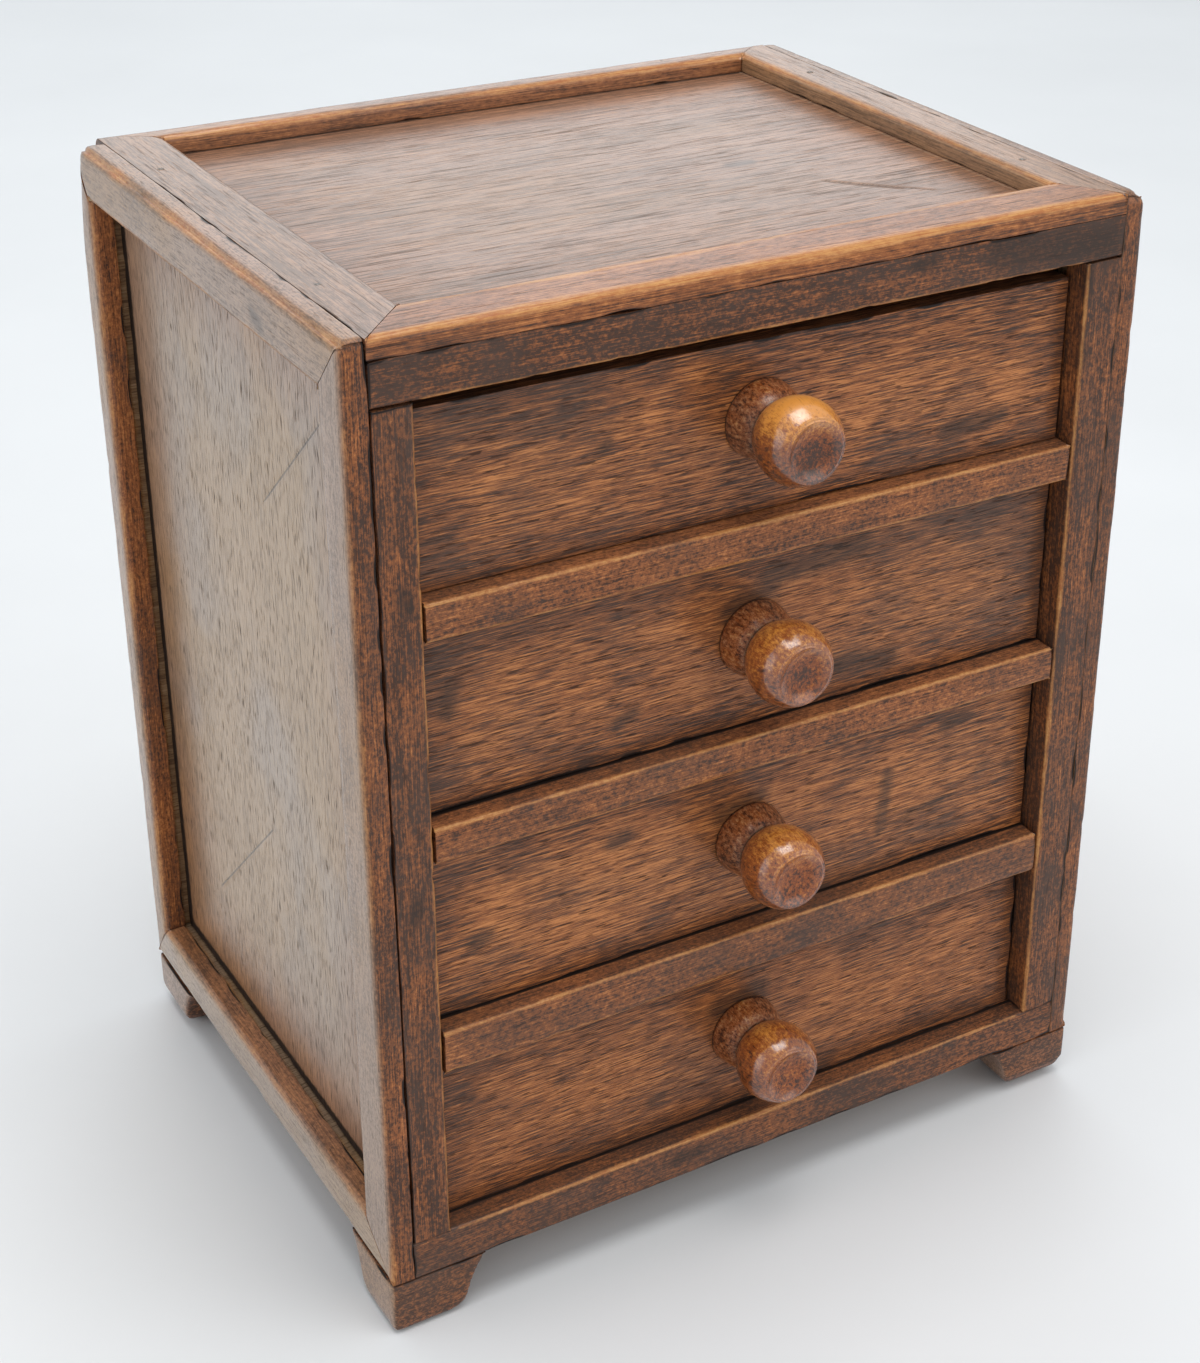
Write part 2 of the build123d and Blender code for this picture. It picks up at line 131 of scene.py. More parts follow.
# Painted sheen: how much paler and greyer faces that look left, up, right, back and front are drawn, as if
# they caught the bright surroundings; their polish grows with it
case_fade = (0.62, 0.3, 0.3, 0.2, 0.0)
strip_fade = (0.40, 0.3, 0.3, 0.2, 0.0)
low_fade = (0.50, 0.2, 0.4, 0.2, 0.0)
top_fade = (0.1, 0.3, 0.1, 0.2, 0.0)
bright_fade = (0.35, 0.3, 0.1, 0.2, 0.15)
edge_fade = (0.1, 0.17, 0.1, 0.2, 0.0)
front_fade = (0.05, 0.12, 0.05, 0.2, 0.03)
foot_fade = (0.35, 0.0, 0.1, 0.1, 0.1)
border_reach = 35.0 * MM
warm_reach = 110.0 * MM

mark_labels = ("grain", "wear", "seam", "fade", "streaks", "tone", "dust", "patch")
nowhere_near = 1.0


def prism_faces(axes, outline, span, joints, mitres=None):
    """The faces of a prism: one for each side of the outline, then the low and the high end.

    A joint counts fully, a tight mitre by a part, and an open face not at all."""
    mitres = mitres or {}
    faces = []
    for number, (u, v) in enumerate(outline):
        next_u, next_v = outline[(number + 1) % len(outline)]
        inward = place(axes, v - next_v, next_u - u, 0.0).normalized()
        joint, gap = mitres.get(number, (float(number in joints), 0.0))
        faces.append(Face(place(axes, u, v, span[0]), inward, joint, gap))
    for end, towards, label in ((span[0], 1.0, "low"), (span[1], -1.0, "high")):
        inward = place(axes, 0.0, 0.0, towards)
        faces.append(Face(place(axes, *outline[0], end), inward, float(label in joints)))
    return faces


def depth_below(face, point):
    """How deep a point lies inside a face."""
    return (point - face.point).dot(face.inward)


def nearest(faces, point):
    """How far a point is from the nearest of some faces."""
    return min([abs(depth_below(face, point)) for face in faces], default=nowhere_near)


def facing(face, normal):
    """How squarely a surface lies in a face: one in it, nothing beside it."""
    return max(0.0, -face.inward.dot(normal))


def prism(axes, outline, span):
    """A body with an outline in the plane of the first two axes and a span along the third."""
    bm = bmesh.new()
    low, high = ([bm.verts.new(place(axes, u, v, w)) for u, v in outline] for w in span)
    bm.faces.new(low)
    bm.faces.new(high)
    for i in range(len(outline)):
        j = (i + 1) % len(outline)
        bm.faces.new((low[i], low[j], high[j], high[i]))
    bmesh.ops.recalc_face_normals(bm, faces=bm.faces[:])
    return bm


def with_modifier(mesh, kind, **settings):
    """The body that a modifier makes of a mesh, which is used up."""
    rough = bpy.data.objects.new("rough", mesh)
    bpy.context.scene.collection.objects.link(rough)
    modifier = rough.modifiers.new("modifier", kind)
    for name, value in settings.items():
        setattr(modifier, name, value)
    depsgraph = bpy.context.evaluated_depsgraph_get()
    made = bpy.data.meshes.new_from_object(rough.evaluated_get(depsgraph))
    body = bmesh.new()
    body.from_mesh(made)
    bpy.data.objects.remove(rough)
    bpy.data.meshes.remove(mesh)
    bpy.data.meshes.remove(made)
    return body


def with_round_edges(bm, faces, width):
    """The same body with its edges rounded, less where it meets another piece."""
    weights = bm.edges.layers.float.new("bevel_weight_edge")
    for edge in bm.edges:
        middle = (edge.verts[0].co + edge.verts[1].co) / 2
        at_joint = any(f.joint and abs(depth_below(f, middle)) < same_place for f in faces)
        edge[weights] = seam_arris / width if at_joint else 1.0
    mesh = bpy.data.meshes.new("rough")
    bm.to_mesh(mesh)
    bm.free()
    return with_modifier(mesh, "BEVEL", limit_method="WEIGHT", width=width, segments=arris_steps)


def cut(bm, point, direction, geometry=None):
    """Cuts a body, or some of it, along a plane and leaves both parts."""
    if geometry is None:
        geometry = bm.verts[:] + bm.edges[:] + bm.faces[:]
    bmesh.ops.bisect_plane(bm, geom=geometry, dist=cut_tolerance, plane_co=point, plane_no=direction)


def cut_grid(bm, faces, spacing):
    """Cuts rings beside the faces and an even grid between them."""
    low = Vector([min(v.co[i] for v in bm.verts) for i in range(3)])
    high = Vector([max(v.co[i] for v in bm.verts) for i in range(3)])
    for face in faces:
        room = max(depth_below(face, v.co) for v in bm.verts) / 2
        for ring in edge_rings:
            if ring < room:
                cut(bm, face.point + face.inward * ring, face.inward)
    for i in range(3):
        count = int((high[i] - low[i]) / spacing)
        direction = Vector([float(i == j) for j in range(3)])
        for step in range(1, count):
            cut(bm, low + direction * ((high[i] - low[i]) * step / count), direction)


def cut_scratch(bm, start, end, through):
    """Cuts a board's grid along a scratch, so that it can have a thin groove."""
    across = (end - start).normalized().cross(through)
    for offset in (-scratch_width, 0.0, scratch_width):
        near = [f for f in bm.faces if distance_to_line(f.calc_center_median(), start, end) < scratch_room]
        edges = dict.fromkeys(e for f in near for e in f.edges)
        corners = dict.fromkeys(v for f in near for v in f.verts)
        cut(bm, start + across * offset, across, near + list(edges) + list(corners))


def seeded_offset(name):
    """Where in the noise a piece lies, fixed by its name."""
    chance = random.Random(name)
    return Vector([chance.uniform(-50.0, 50.0) for i in range(3)])


def grain_place(point, grain_axis, offset, stretch=1.0):
    """A point in the wood: along the grain first, then across it."""
    along = "xyz".index(grain_axis)
    across, through = (i for i in range(3) if i != along)
    return Vector((point[along] / stretch, point[across], point[through])) + offset


def share(distance, reach):
    """One at no distance, falling to nothing at the reach."""
    return min(1.0, max(0.0, 1.0 - distance / reach))


def distance_to_line(point, start, end):
    """The distance of a point from a straight line between two ends."""
    line = end - start
    position = min(1.0, max(0.0, (point - start).dot(line) / max(line.length_squared, 1e-12)))
    return (point - start - line * position).length


def stains(axes, level, rows):
    """Dark stains on a flat face, from two coordinates of each one's start and end and its reach, in mm."""
    return [(place(axes, u * MM, v * MM, level), place(axes, to_u * MM, to_v * MM, level), reach * MM)
            for u, v, to_u, to_v, reach in rows]


def fade_of(normal, strengths):
    """How much painted sheen pales a face, by the way it looks. The strengths are for left, top, right, back
    and front.
    """
    amounts = (-normal.x, normal.z, normal.x, normal.y, -normal.y)
    return sum(strength * max(0.0, amount) ** 2 for amount, strength in zip(amounts, strengths))


def round_corner(bm, along, corner, full_radius, top=None):
    """Rounds a board's corner, which is given by its other two coordinates, about a line along one axis.

    Where a top is given, the rounding runs out below it."""
    axes = [i for i in range(3) if "xyz"[i] != along]
    middle = [sum(v.co[i] for v in bm.verts) / len(bm.verts) for i in axes]
    signs = [1.0 if at > centre else -1.0 for at, centre in zip(corner, middle)]
    for vertex in bm.verts:
        radius = full_radius * (share(top - vertex.co.z, corner_run) if top else 1.0)
        reach = [(vertex.co[i] - c) * s + radius for i, c, s in zip(axes, corner, signs)]
        if min(reach) > 0:
            factor = max(reach) / math.hypot(*reach)
            for i, c, s, r in zip(axes, corner, signs, reach):
                vertex.co[i] = c + s * (r * factor - radius)


def near_seam(joint_faces, point, normal):
    """How near a point is to a seam that can be seen. The hidden face of a joint doesn't count."""
    return max([f.joint * share(abs(depth_below(f, point)), seam_reach) * (1.0 - facing(f, normal) ** 4)
                for f in joint_faces], default=0.0)


def worn_depth(point, to_edge, offset):
    """How deep dents, rubbing and nicks go."""
    near_edge = math.exp(-to_edge / rubbed_reach)
    dent = dent_depth * (1.0 + noise.noise(point * dent_scale + offset))
    rubbing = rubbed_mean + rubbed_swing * noise.noise(point * rubbed_scale + offset)
    nick = max(0.0, noise.noise(point * nick_scale + offset) - nick_level)
    return dent + rubbed_depth * near_edge * rubbing + nick_depth * near_edge * nick


def weather(bm, name, faces, borders, grain_axis, wear=0.7, wear_width=wear_reach, wear_side=1.0, free_x=1.0,
            fade=case_fade, border_fade=0.25, warm_foot=0.0, tone=0.0, streaks=1.0, stretch=1.0, grime=0.0,
            seam_dirt=1.0, border_dirt=seam_reach, dust_faces=(), patches=(), scratches=()):
    """Dents and rubs a board, always inwards, and returns what its finish needs at each vertex.

    Borders are where other pieces begin. Inside them painted shade darkens the wood and the painted sheen
    is weaker, by border_fade. Low down the painted sheen is weaker by warm_foot. Upright faces wear by
    wear_side, and the board is covered beyond free_x."""
    offset = seeded_offset(name)
    open_faces = [f for f in faces if not f.joint]
    joint_faces = [f for f in faces if f.joint]
    bm.normal_update()
    marks = {label: [] for label in mark_labels}
    moves = []
    for vertex in bm.verts:
        point, normal = vertex.co.copy(), vertex.normal.copy()
        # The nearest open face is the point's own, and the next one lies across the edge
        to_edge = sorted(abs(depth_below(f, point)) for f in open_faces)[1]
        recessed = all(depth_below(f, point) > -border_dirt for f in borders)
        to_border = nearest(borders if recessed else (), point)
        to_dust = nearest(dust_faces if recessed else (), point)
        opening = max(0.0, noise.noise(point * crack_scale + offset) - crack_level)
        dirty = min(1.0, seam_least + seam_growth * opening)
        seam = seam_dirt * near_seam(joint_faces, point, normal) * dirty
        worn = wear_side + (1.0 - wear_side) * max(0.0, normal.z)
        if abs(point.x) > free_x:
            worn *= covered_wear
        kept = 1.0 - border_fade * share(to_border, border_reach)
        paled = fade_of(normal, fade) * (kept * (1.0 - warm_foot * share(point.z, warm_reach)))
        stain = max([share(distance_to_line(point, a, b), reach) for a, b, reach in patches], default=0.0)
        scratch = max([share(distance_to_line(point, a, b), scratch_width) for a, b in scratches],
                      default=0.0)
        marks["grain"].append(grain_place(point, grain_axis, offset, stretch))
        marks["wear"].append(wear * worn * share(to_edge, wear_width))
        # Painted shade along the borders goes into the same mark as the dirt in the seams
        marks["seam"].append(max(seam, border_shade_strength * share(to_border, border_dirt)))
        marks["fade"].append(paled)
        marks["streaks"].append(streaks)
        # Darker towards the joints: painted shade with grime
        marks["tone"].append(tone * (1.0 - paled) - grime * share(nearest(joint_faces, point), grime_reach))
        marks["dust"].append(share(to_dust, dust_reach))
        marks["patch"].append(max(stain, scratch))
        move = normal * max(0.0, worn_depth(point, to_edge, offset) + scratch_depth * scratch)
        for face in joint_faces:
            gape = face.gap + crack_width * opening * face.joint ** 2
            move -= face.inward * (gape * share(abs(depth_below(face, point)), crack_reach))
        moves.append((vertex, move))
    for vertex, move in moves:
        vertex.co -= move
    return marks


def keep_inside(bm, low, high):
    """Pulls in whatever stands out of a box."""
    for vertex in bm.verts:
        vertex.co = [min(max(value, least), most) for value, least, most in zip(vertex.co, low, high)]


def finish_piece(name, node, bm, marks, material, smooth=True):
    """Makes a piece of the body, which stands for a node and moves with that node's body."""
    mesh = bpy.data.meshes.new(name)
    bm.to_mesh(mesh)
    bm.free()
    mesh.polygons.foreach_set("use_smooth", [smooth] * len(mesh.polygons))
    for label, values in marks.items():
        if label == "grain":
            attribute = mesh.attributes.new(label, "FLOAT_VECTOR", "POINT")
            attribute.data.foreach_set("vector", [number for value in values for number in value])
        else:
            attribute = mesh.attributes.new(label, "FLOAT", "POINT")
            attribute.data.foreach_set("value", values)
    mesh.materials.append(material)
    piece = bpy.data.objects.new(name, mesh)
    bpy.context.scene.collection.objects.link(piece)
    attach(piece, nodes[node]["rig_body"])
    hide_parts(node)
    return piece


def board(node, axes, outline, joints, grain_axis, material, spacing=panel_grid, mitres=None, borders=(),
          corners=(), width=arris, scratches=(), **weathering):
    """A worn board in the place of a node, with the node's own box as outline where none is given."""
    low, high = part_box(node)
    end = "xyz".index(axes[2])
    span = (low[end], high[end])
    outline = outline or rectangle(low, high, axes)
    faces = prism_faces(axes, outline, span, joints, mitres)
    bm = with_round_edges(prism(axes, outline, span), faces, width)
    cut_grid(bm, faces + list(borders), spacing)
    for corner in corners:
        round_corner(bm, *corner)
    for ends in scratches:
        cut_scratch(bm, *ends, place(axes, 0.0, 0.0, 1.0))
    marks = weather(bm, node, faces, borders, grain_axis, scratches=scratches, **weathering)
    keep_inside(bm, low, high)
    return finish_piece(f"{node}_worn", node, bm, marks, material)


# Finishes


class Finish:
    """A material in the making: adds shader nodes and links them."""

    def __init__(self, name):
        self.material = bpy.data.materials.new(name)
        self.material.use_nodes = True
        self.nodes = self.material.node_tree.nodes
        self.links = self.material.node_tree.links
        self.shader = self.nodes["Principled BSDF"].inputs

    def put(self, socket, value):
        """Links a socket to another one, or sets its value."""
        if isinstance(value, bpy.types.NodeSocket):
            self.links.new(value, socket)
        else:
            socket.default_value = value

    def mark(self, label):
        """What a piece's mesh says at a vertex, as a number."""
        node = self.nodes.new("ShaderNodeAttribute")
        node.attribute_name = label
        return node.outputs["Fac"]

    def grain(self, along, across):
        """Coordinates in the wood, in steps per metre along and across the grain."""
        source = self.nodes.new("ShaderNodeAttribute")
        source.attribute_name = "grain"
        node = self.nodes.new("ShaderNodeVectorMath")
        node.operation = "MULTIPLY"
        self.links.new(source.outputs["Vector"], node.inputs[0])
        node.inputs[1].default_value = (along, across, across)
        return node.outputs["Vector"]

    def object_place(self):
        """Coordinates in an object, in metres."""
        return self.nodes.new("ShaderNodeTexCoord").outputs["Object"]

    def noise(self, vector, detail=2.0, roughness=0.5, distortion=0.0, scale=1.0):
        """Soft noise between zero and one."""
        node = self.nodes.new("ShaderNodeTexNoise")
        self.links.new(vector, node.inputs["Vector"])
        node.inputs["Scale"].default_value = scale
        node.inputs["Detail"].default_value = detail
        node.inputs["Roughness"].default_value = roughness
        node.inputs["Distortion"].default_value = distortion
        return node.outputs["Fac"]

    def between(self, value, low, high, to_low=0.0, to_high=1.0):
        """A smooth step of a value between two levels."""
        node = self.nodes.new("ShaderNodeMapRange")
        node.interpolation_type = "SMOOTHSTEP"
        for socket, number in zip(node.inputs, (value, low, high, to_low, to_high)):
            self.put(socket, number)
        return node.outputs["Result"]

    def maths(self, operation, first, second):
        """Two values joined by an operation."""
        node = self.nodes.new("ShaderNodeMath")
        node.operation = operation
        self.put(node.inputs[0], first)
        self.put(node.inputs[1], second)
        return node.outputs["Value"]

    def plus(self, first, second):
        return self.maths("ADD", first, second)

    def minus(self, first, second):
        return self.maths("SUBTRACT", first, second)

    def times(self, first, second):
        return self.maths("MULTIPLY", first, second)

    def larger(self, first, second):
        return self.maths("MAXIMUM", first, second)

    def total(self, first, *others):
        """The sum of patterns, each given with its weight."""
        result = self.times(*first)
        for pattern, weight in others:
            result = self.plus(result, self.times(pattern, weight))
        return result

    def ragged(self, label, pattern, weight):
        """A mark that a pattern breaks up."""
        return self.plus(self.mark(label), self.times(pattern, weight))

    def mix(self, factor, first, second):
        """A colour between two others."""
        node = self.nodes.new("ShaderNodeMix")
        node.data_type = "RGBA"
        sockets = [s for s in node.inputs if s.type == "RGBA"]
        self.put(node.inputs[0], factor)
        for socket, colour in zip(sockets, (first, second)):
            self.put(socket, (*colour, 1.0) if isinstance(colour, tuple) else colour)
        return next(s for s in node.outputs if s.type == "RGBA")

    def bump(self, height, strength, distance):
        """Fine relief on the surface and on its coat."""
        node = self.nodes.new("ShaderNodeBump")
        node.inputs["Strength"].default_value = strength
        node.inputs["Distance"].default_value = distance
        self.links.new(height, node.inputs["Height"])
        self.links.new(node.outputs["Normal"], self.shader["Normal"])
        self.links.new(node.outputs["Normal"], self.shader["Coat Normal"])


# The dark of dirty seams, also used for painted shade in gaps and recesses
soot_and_shade = (0.018, 0.012, 0.010)
film_colour = (0.079, 0.048, 0.036)
# The stain colour also paints shade behind the knobs' balls
stain_and_shade_colour = (0.030, 0.019, 0.014)
dust_colour = (0.46, 0.39, 0.27)
worn_gold = (0.55, 0.27, 0.085)
worn_red = (0.38, 0.125, 0.034)
# The colours that painted sheen mixes in: paler and greyer than the stain
faded_dark, faded_pore = (0.15, 0.096, 0.060), (0.050, 0.030, 0.020)
faded_gold, faded_grey = (0.37, 0.238, 0.125), (0.34, 0.252, 0.185)
faded_light = (0.46, 0.325, 0.21)
pore_strength, stain_and_shade_strength, rub_strength, dust_strength = 0.8, 0.65, 0.9, 0.8
wood_specular = 0.14


def wood(name, dark, middle, light, contrast, banding, film_amount, rough, coat, coat_rough, coat_ior):
    """Old stained wood: dark lines and pores along the grain, a patchy film, worn edges, dirty seams, painted
    shade in gaps and recesses, and painted sheen.

    Pieces that hands have touched for years have lost their lines under a mottled film. The coat is given for
    the dark wood and for the wood under painted sheen, which still has its varnish."""
    make = Finish(name)
    fine = make.noise(make.grain(along=105.0, across=2900.0), detail=4.0, roughness=0.75)
    broad = make.noise(make.grain(along=18.0, across=230.0), detail=4.0, roughness=0.6, distortion=0.8)
    cloud = make.noise(make.grain(along=48.0, across=66.0), detail=5.0, roughness=0.62)
    hue = make.noise(make.grain(along=14.0, across=20.0), detail=3.0, roughness=0.5)
    speck = make.noise(make.grain(along=800.0, across=1150.0), detail=4.0, roughness=0.75)
    pores = make.between(make.noise(make.grain(along=190.0, across=2700.0), detail=1.0), 0.60, 0.67)
    fade, streaks, tone = make.mark("fade"), make.mark("streaks"), make.mark("tone")

    # The wood, stained or paled by painted sheen, with dark lines and pale streaks
    detail = make.plus(speck, make.times(streaks, make.minus(fine, speck)))
    value = make.total((tone, 0.04), (make.minus(detail, 0.5), contrast), (make.minus(cloud, 0.5), 0.10),
                       (make.minus(broad, 0.5), banding))
    pale = make.between(fade, 0.0, 0.6)
    # Painted sheen also washes out the dark lines
    plain = make.between(fade, 0.0, 0.4, to_low=1.0, to_high=0.6)
    faded_middle = make.mix(make.between(hue, 0.42, 0.58), faded_gold, faded_grey)
    lines = make.times(make.between(value, -0.085, 0.0, to_low=1.0, to_high=0.0), plain)
    colour = make.mix(lines, make.mix(pale, middle, faded_middle), make.mix(pale, dark, faded_dark))
    streak = make.times(make.between(value, -0.01, 0.11), plain)
    colour = make.mix(streak, colour, make.mix(pale, light, faded_light))

    # The film over the stained wood, thinner under painted sheen, and the pores
    kept = make.minus(1.0, make.times(pale, 0.9))
    film = make.total((cloud, 0.3), (detail, 0.4), (hue, 0.3), (tone, 0.02))
    film = make.times(make.between(film, 0.34, 0.58, to_low=film_amount, to_high=0.0), kept)
    colour = make.mix(film, colour, film_colour)
    sunk = make.times(pores, make.times(streaks, pore_strength))
    colour = make.mix(sunk, colour, make.mix(pale, dark, faded_pore))

    # Stains with painted shade behind the knobs' balls, rubbed edges, dirt in the seams with painted shade in
    # gaps and recesses, and dust
    stain = make.between(make.ragged("patch", speck, 0.5), 0.45, 1.15, to_high=stain_and_shade_strength)
    colour = make.mix(stain, colour, stain_and_shade_colour)
    rub = make.between(make.ragged("wear", cloud, 1.1), 0.92, 1.40, to_high=rub_strength)
    colour = make.mix(rub, colour, make.mix(make.between(detail, 0.40, 0.60), worn_red, worn_gold))
    dirt = make.between(make.ragged("seam", speck, 0.8), 0.85, 1.30)
    colour = make.mix(dirt, colour, soot_and_shade)
    dust = make.between(make.ragged("dust", speck, 0.6), 0.80, 1.25, to_high=dust_strength)
    colour = make.mix(dust, colour, dust_colour)
    make.put(make.shader["Base Color"], colour)

    # Polish, which pores, dirt with painted shade, and dust take away, and which grows with the painted sheen
    roughness = make.total((lines, 0.12), (sunk, 0.2))
    make.put(make.shader["Roughness"], make.plus(roughness, rough))
    bare = make.larger(sunk, make.times(dirt, 0.8))
    bare = make.larger(bare, make.between(make.mark("dust"), 0.0, 0.7))
    polish = make.between(fade, 0.0, 0.4, *coat)
    make.put(make.shader["Coat Weight"], make.times(polish, make.minus(1.0, bare)))
    make.shader["Coat Roughness"].default_value = coat_rough
    make.shader["Coat IOR"].default_value = coat_ior
    make.shader["Specular IOR Level"].default_value = wood_specular
    make.bump(make.minus(make.times(detail, 0.6), sunk), strength=0.35, distance=0.15 * MM)
    return make.material


stained = wood("stained_wood", dark=(0.048, 0.021, 0.012), middle=(0.27, 0.086, 0.026),
               light=(0.57, 0.22, 0.070), contrast=0.72, banding=0.12, film_amount=0.75, rough=0.42,
               coat=(0.35, 0.95), coat_rough=0.2, coat_ior=1.48)
inside = wood("inside_wood", dark=(0.15, 0.080, 0.042), middle=(0.31, 0.168, 0.082),
              light=(0.46, 0.28, 0.15), contrast=0.5, banding=0.3, film_amount=0.3, rough=0.55,
              coat=(0.0, 0.0), coat_rough=0.3, coat_ior=1.45)
turned = wood("knob_wood", dark=(0.040, 0.012, 0.005), middle=(0.30, 0.072, 0.013),
              light=(0.64, 0.26, 0.050), contrast=0.55, banding=0.12, film_amount=0.5, rough=0.30,
              coat=(1.0, 1.0), coat_rough=0.12, coat_ior=1.7)

iron = Finish("brad_iron")
iron_spots = iron.noise(iron.object_place(), scale=1400.0)
iron.put(iron.shader["Base Color"], iron.mix(iron_spots, (0.09, 0.075, 0.065), (0.30, 0.26, 0.23)))
iron.put(iron.shader["Roughness"], iron.between(iron_spots, 0.3, 0.7, to_low=0.45, to_high=0.75))
iron.shader["Metallic"].default_value = 0.3

# The case

# Mitres and joints: how plainly they show and how far they have opened
tight, ajar, loose = (0.15, 0.0), (0.8, 0.5 * MM), (1.0, 0.4 * MM)


def strip_outline(outer, inner, side):
    """The outline of one of the four mitred strips between an outer and an inner outline."""
    following = (side + 1) % 4
    return [outer[side], outer[following], inner[following], inner[side]]


def recess_faces(low, high, axes):
    """Where the strips round a recessed panel begin, as faces that look into the recess."""
    return [
        Face(place(axes, low[0], low[1], 0.0), place(axes, 1.0, 0.0, 0.0), 1.0),
        Face(place(axes, low[0], low[1], 0.0), place(axes, 0.0, 1.0, 0.0), 1.0),
        Face(place(axes, high[0], high[1], 0.0), place(axes, -1.0, 0.0, 0.0), 1.0),
        Face(place(axes, high[0], high[1], 0.0), place(axes, 0.0, -1.0, 0.0), 1.0),
    ]


strip_low, strip_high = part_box("top_left_strip")[0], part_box("top_right_strip")[1]
top_inner_low = Vector((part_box("top_left_strip")[1].x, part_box("top_front_strip")[1].y, 0.0))
top_inner_high = Vector((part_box("top_right_strip")[0].x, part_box("top_back_strip")[0].y, 0.0))

# Strips round the top panel, anticlockwise from the front one: grain, wear, tone, joints and fade
top_outer = rectangle(strip_low, strip_high, "xyz")
top_inner = rectangle(top_inner_low, top_inner_high, "xyz")
back_edge_round = [("x", (strip_high.y, strip_high.z), 3.0 * MM)]
top_strips = (("front", "x", 1.3, 0.0, {"low"}, edge_fade), ("right", "y", 0.9, 0.0, {0, "low"}, bright_fade),
              ("back", "x", 1.0, 0.0, {"low"}, bright_fade), ("left", "y", 0.5, -1.5, {0, "low"}, top_fade))
for side, (label, grain_axis, wear, tone, joints, fade) in enumerate(top_strips):
    board(f"top_{label}_strip", "xyz", strip_outline(top_outer, top_inner, side), joints, grain_axis, stained,
          spacing=strip_grid, mitres={1: tight, 3: tight}, width=soft_arris, corners=back_edge_round,
          wear=wear, wear_width=front_wear if label == "front" else wear_reach,
          wear_side=0.4 if label == "front" else 1.0, tone=tone, fade=fade, streaks=0.6, stretch=2.0)

top_recess = recess_faces(top_inner_low, top_inner_high, "xyz")
panel_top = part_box("top_panel")[1].z
top_scratch = (place("xyz", 49.0 * MM, -15.5 * MM, panel_top), place("xyz", 68.5 * MM, -35.0 * MM, panel_top))
top_stains = stains("xyz", panel_top, ((36.0, 6.5, 42.0, 6.0, 4.5), (69.0, -20.0, 72.0, -20.0, 3.0)))
# The top panel gets painted shade along the edges of its recess
board("top_panel", "xyz", None, set(), "x", stained, borders=top_recess, dust_faces=[top_recess[2]],
      scratches=[top_scratch], patches=top_stains, tone=-1.0, streaks=0.7, stretch=2.6)

# Sides: a recessed panel and four mitred strips, whose upper corners are worn round. The ends of the
# scratches are given along y and z, in mm.
side_scratches = {"left": [((-3.8, 192.7), (-41.9, 226.3)), ((50.4, 57.1), (7.4, 98.2))],
                  "right": [((22.0, 148.0), (38.0, 131.0))]}
front_corner = {"left": 2.2 * MM, "right": 4.0 * MM}
back_corner = {"left": 8.0 * MM, "right": 4.0 * MM}
top_edge = {"left": 2.6 * MM, "right": 4.0 * MM}
for hand, outer_joint in (("left", "high"), ("right", "low")):
    rail_low, rail_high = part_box(f"{hand}_top_rail")
    base_low, base_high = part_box(f"{hand}_bottom_rail")
    front_edge = max(v.co.y for v in nodes[f"{hand}_front_stile"].data.vertices)
    top_front_edge = min(v.co.y for v in nodes[f"{hand}_top_rail"].data.vertices
                         if v.co.z < rail_low.z + 0.1 * MM)
    back_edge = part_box(f"{hand}_back_stile")[0].y
    outer = [(base_low.y, base_low.z), (base_high.y, base_low.z), (rail_high.y, rail_high.z),
             (rail_low.y, rail_high.z)]
    inner = [(front_edge, base_high.z), (back_edge, base_high.z), (back_edge, rail_low.z),
             (top_front_edge, rail_low.z)]
    recess = recess_faces((front_edge, base_high.z), (back_edge, rail_low.z), "yzx")
    out_x = rail_low.x if hand == "left" else rail_high.x
    front_round = [("x", (rail_low.y, rail_high.z), front_corner[hand]),
                   ("y", (out_x, rail_high.z), top_edge[hand])]
    back_round = [("x", (rail_high.y, rail_high.z), back_corner[hand]),
                  ("z", (out_x, rail_high.y), back_corner[hand], rail_high.z)]
    rail_stains = stains("yzx", out_x, ((-31.0, 246.0, -27.0, 247.2, 4.0), (62.0, 247.0, 62.0, 248.0, 2.5)))
    # The strips, anticlockwise as seen from the right: grain, wear, tone, fade and worn corners
    strips = (("bottom_rail", "y", 0.6, 0.0, low_fade, ()),
              ("back_stile", "z", 0.7, 0.0, strip_fade, back_round),
              ("top_rail", "y", 0.95, -1.0, strip_fade, front_round + back_round),
              ("front_stile", "z", 0.6, -0.9, strip_fade, front_round))
    for side, (label, grain_axis, wear, tone, fade, corners) in enumerate(strips):
        on_top = label == "top_rail"
        mitres = {1: ajar if label == "back_stile" else tight, 3: ajar if on_top else tight}
        board(f"{hand}_{label}", "yzx", strip_outline(outer, inner, side), {outer_joint}, grain_axis, stained,
              spacing=strip_grid, mitres=mitres, width=soft_arris, corners=corners, wear=wear, tone=tone,
              fade=fade, streaks=0.5, seam_dirt=1.6, dust_faces=[recess[3]] if on_top else (),
              patches=rail_stains if on_top else ())
    panel_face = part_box(f"{hand}_side_panel")[0 if hand == "left" else 1].x
    scratches = [[place("yzx", y * MM, z * MM, panel_face) for y, z in ends] for ends in side_scratches[hand]]
    # Painted shade in the shadow gap round the panel
    board(f"{hand}_side_panel", "yzx", None, set(), "z", stained, borders=recess, border_dirt=gap_shade,
          border_fade=0.5, warm_foot=0.3, scratches=scratches)


def drawer_plane(number):
    """Where a drawer's front stands on what carries it."""
    return Face(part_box(f"drawer_{number}_front")[0], Vector((0.0, -1.0, 0.0)), 1.0)


